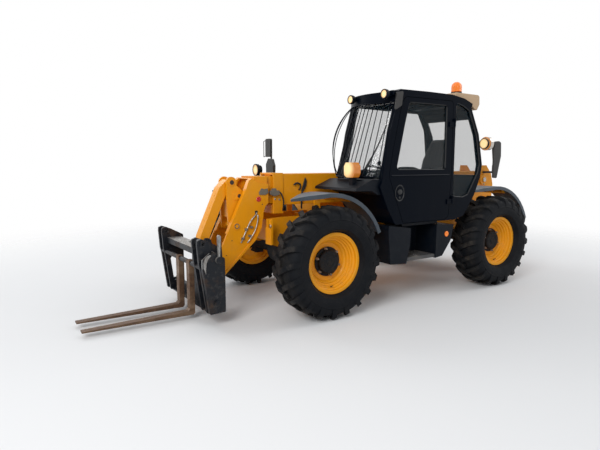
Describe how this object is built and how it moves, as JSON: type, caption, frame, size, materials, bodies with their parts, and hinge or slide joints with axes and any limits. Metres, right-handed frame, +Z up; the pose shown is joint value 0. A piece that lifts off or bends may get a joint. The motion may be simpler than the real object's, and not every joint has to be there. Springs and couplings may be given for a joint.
{
  "type": "telehandler",
  "caption": "Telescopic handler with a side cab, lifting and extending boom, tilting fork carriage, steered wheels, opening door and bonnet.",
  "frame": {"origin": "on the ground, under the middle of the bounding box", "axes": "+Z up, -Y forwards over the forks, +X to the machine's left, the cab side"},
  "size_m": [2.28, 6.22, 2.656],
  "materials": {
    "yellow_paint": "gloss",
    "black_paint": "gloss",
    "axle_paint": "satin",
    "worn_black_steel": "worn",
    "tread_metal": "worn",
    "fork_steel": "rusted",
    "chrome": "polished",
    "rubber": "dusty",
    "black_plastic": "satin",
    "grey_plastic": "satin",
    "beige_plastic": "satin",
    "amber": "clear",
    "lamp": "clear",
    "glass": "tinted",
    "seat_fabric": "woven",
    "engine_grey": "satin"
  },
  "bodies": {
    "chassis": {"chassis_frame": "yellow_paint", "chassis_crossmembers": "yellow_paint", "boom_tower": "yellow_paint", "counterweight": "yellow_paint", "front_axle": "axle_paint", "rear_axle": "axle_paint", "cab_frame": "black_paint", "cab_roof": "black_paint", "front_cowl": "black_plastic", "windscreen": "glass", "cab_windows": "glass", "windscreen_guard": "black_paint", "roof_pod": "beige_plastic", "beacon": "amber", "dash_console": "black_plastic", "steering_wheel": "black_plastic", "seat_base": "black_plastic", "seat_cushions": "seat_fabric", "mudguards": "grey_plastic", "mudguard_brackets": "yellow_paint", "step_unit": "black_plastic", "step_tread": "tread_metal", "lamps": "lamp", "mirrors": "black_plastic", "engine_tray": "yellow_paint", "engine_block": "engine_grey"},
    "door": {"cab_door": "black_paint", "door_window": "glass"},
    "bonnet": {"engine_bonnet": "yellow_paint"},
    "outer_boom": {"boom_outer": "yellow_paint"},
    "inner_boom": {"boom_inner": "yellow_paint"},
    "lever": {"tilt_lever": "yellow_paint"},
    "link": {"tilt_link": "yellow_paint"},
    "carriage": {"headstock": "worn_black_steel", "fork_frame": "worn_black_steel", "forks": "fork_steel"},
    "ram_barrel": {"lift_barrel": "black_paint"},
    "ram_rod": {"lift_rod": "chrome"},
    "knuckle_front_left": {"knuckle_front_left": "axle_paint"},
    "wheel_front_left": {"tyre_front_left": "rubber", "rim_front_left": "yellow_paint", "hub_front_left": "axle_paint"},
    "knuckle_front_right": {"knuckle_front_right": "axle_paint"},
    "wheel_front_right": {"tyre_front_right": "rubber", "rim_front_right": "yellow_paint", "hub_front_right": "axle_paint"},
    "knuckle_rear_left": {"knuckle_rear_left": "axle_paint"},
    "wheel_rear_left": {"tyre_rear_left": "rubber", "rim_rear_left": "yellow_paint", "hub_rear_left": "axle_paint"},
    "knuckle_rear_right": {"knuckle_rear_right": "axle_paint"},
    "wheel_rear_right": {"tyre_rear_right": "rubber", "rim_rear_right": "yellow_paint", "hub_rear_right": "axle_paint"}
  },
  "joints": [
    {"name": "steer_front_left", "type": "hinge", "parent": "chassis", "child": "knuckle_front_left", "pos_m": [0.76, -0.74, 0.605], "axis": [0, 0, 1], "range_deg": [-35, 35]},
    {"name": "spin_front_left", "type": "hinge", "parent": "knuckle_front_left", "child": "wheel_front_left", "pos_m": [0.925, -0.74, 0.605], "axis": [1, 0, 0], "continuous": true},
    {"name": "steer_front_right", "type": "hinge", "parent": "chassis", "child": "knuckle_front_right", "pos_m": [-0.76, -0.74, 0.605], "axis": [0, 0, 1], "range_deg": [-35, 35]},
    {"name": "spin_front_right", "type": "hinge", "parent": "knuckle_front_right", "child": "wheel_front_right", "pos_m": [-0.925, -0.74, 0.605], "axis": [1, 0, 0], "continuous": true},
    {"name": "steer_rear_left", "type": "hinge", "parent": "chassis", "child": "knuckle_rear_left", "pos_m": [0.76, 2.01, 0.605], "axis": [0, 0, 1], "range_deg": [-35, 35]},
    {"name": "spin_rear_left", "type": "hinge", "parent": "knuckle_rear_left", "child": "wheel_rear_left", "pos_m": [0.925, 2.01, 0.605], "axis": [1, 0, 0], "continuous": true},
    {"name": "steer_rear_right", "type": "hinge", "parent": "chassis", "child": "knuckle_rear_right", "pos_m": [-0.76, 2.01, 0.605], "axis": [0, 0, 1], "range_deg": [-35, 35]},
    {"name": "spin_rear_right", "type": "hinge", "parent": "knuckle_rear_right", "child": "wheel_rear_right", "pos_m": [-0.925, 2.01, 0.605], "axis": [1, 0, 0], "continuous": true},
    {"name": "boom_lift", "type": "hinge", "parent": "chassis", "child": "outer_boom", "pos_m": [0, 2.76, 1.4], "axis": [-1, 0, 0], "range_deg": [0, 66]},
    {"name": "boom_extend", "type": "slide", "parent": "outer_boom", "child": "inner_boom", "axis": [0, -1, 0], "range_m": [0, 2.3]},
    {"name": "carriage_tilt", "type": "hinge", "parent": "inner_boom", "child": "carriage", "pos_m": [0, -1.72, 0.43], "axis": [1, 0, 0], "range_deg": [-18, 95]},
    {"name": "lever_swing", "type": "hinge", "parent": "inner_boom", "child": "lever", "pos_m": [0, -1.46, 0.959], "axis": [1, 0, 0], "range_deg": [-16, 81]},
    {"name": "link_swing", "type": "hinge", "parent": "lever", "child": "link", "pos_m": [0, -1.475, 1.443], "axis": [1, 0, 0], "range_deg": [-67, 14]},
    {"name": "ram_swing", "type": "hinge", "parent": "chassis", "child": "ram_barrel", "pos_m": [0, 2.66, 0.7], "axis": [-1, 0, 0], "range_deg": [0, 49]},
    {"name": "ram_slide", "type": "slide", "parent": "ram_barrel", "child": "ram_rod", "axis": [0, -0.9379, 0.347], "range_m": [0, 0.67]},
    {"name": "door_swing", "type": "hinge", "parent": "chassis", "child": "door", "pos_m": [1.034, 1.084, 1.5], "axis": [0, 0, 1], "range_deg": [0, 85]},
    {"name": "bonnet_lift", "type": "hinge", "parent": "chassis", "child": "bonnet", "pos_m": [-0.316, 0.56, 1.404], "axis": [0, 1, 0], "range_deg": [0, 60]}
  ],
  "couplings": [
    {"joint": "steer_front_right", "follows": "steer_front_left", "ratio": 1},
    {"joint": "steer_rear_right", "follows": "steer_rear_left", "ratio": 1},
    {"joint": "lever_swing", "follows": "carriage_tilt", "ratio": 0.84668},
    {"joint": "link_swing", "follows": "carriage_tilt", "ratio": -0.69818},
    {"joint": "ram_swing", "follows": "boom_lift", "ratio": 0.72974},
    {"joint": "ram_slide", "follows": "boom_lift", "m_per_rad": 0.57998}
  ]
}
